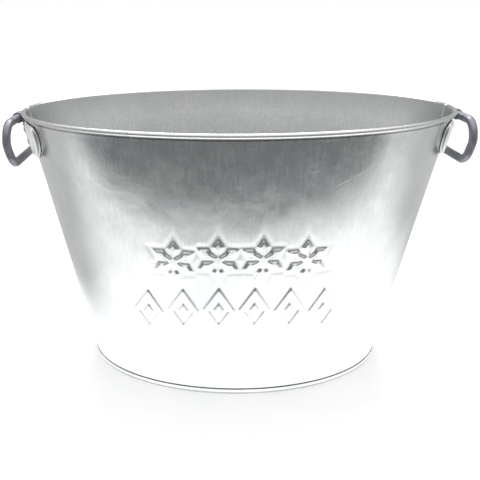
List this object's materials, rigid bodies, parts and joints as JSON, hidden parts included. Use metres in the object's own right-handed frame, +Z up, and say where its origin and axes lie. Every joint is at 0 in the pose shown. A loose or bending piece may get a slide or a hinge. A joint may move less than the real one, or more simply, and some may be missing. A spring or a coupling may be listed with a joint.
{
  "type": "ice bucket",
  "caption": "Tapered oval galvanised sheet-metal ice bucket with a wired rim, raised floor, ear plates and a drop handle hinged on each end.",
  "frame": {"origin": "centre of the foot, on the surface that the bucket stands on", "axes": "+X along the long axis of the oval, towards one handle; -Y towards the embossed front; +Z up"},
  "size_m": [0.4608, 0.2972, 0.273],
  "materials": {
    "galvanised_sheet": "hot-dip galvanised, soft mottled spangle, satin",
    "ear_plate_zinc": "zinc plated, satin",
    "dark_iron": "dark gunmetal, slightly rough",
    "wire_steel": "drawn steel wire",
    "rivet_steel": "zinc plated steel"
  },
  "bodies": {
    "bucket": {"wall_front": "galvanised_sheet", "wall_rear": "galvanised_sheet", "base_pan": "galvanised_sheet", "foot_hoop": "galvanised_sheet", "rim_wire": "wire_steel", "ear_plate_left": "ear_plate_zinc", "ear_plate_right": "ear_plate_zinc", "hinge_lug_left": "dark_iron", "hinge_lug_right": "dark_iron", "rivet_left_1": "rivet_steel", "rivet_left_2": "rivet_steel", "rivet_left_3": "rivet_steel", "rivet_left_4": "rivet_steel", "rivet_right_1": "rivet_steel", "rivet_right_2": "rivet_steel", "rivet_right_3": "rivet_steel", "rivet_right_4": "rivet_steel"},
    "left_handle": {"handle_left": "dark_iron"},
    "right_handle": {"handle_right": "dark_iron"}
  },
  "joints": [
    {"name": "left_handle_swing", "type": "hinge", "parent": "bucket", "child": "left_handle", "pos_m": [-0.225, 0, 0.2635], "axis": [0, 1, 0], "range_deg": [-15, 227]},
    {"name": "right_handle_swing", "type": "hinge", "parent": "bucket", "child": "right_handle", "pos_m": [0.225, 0, 0.2635], "axis": [0, -1, 0], "range_deg": [-15, 227]}
  ]
}
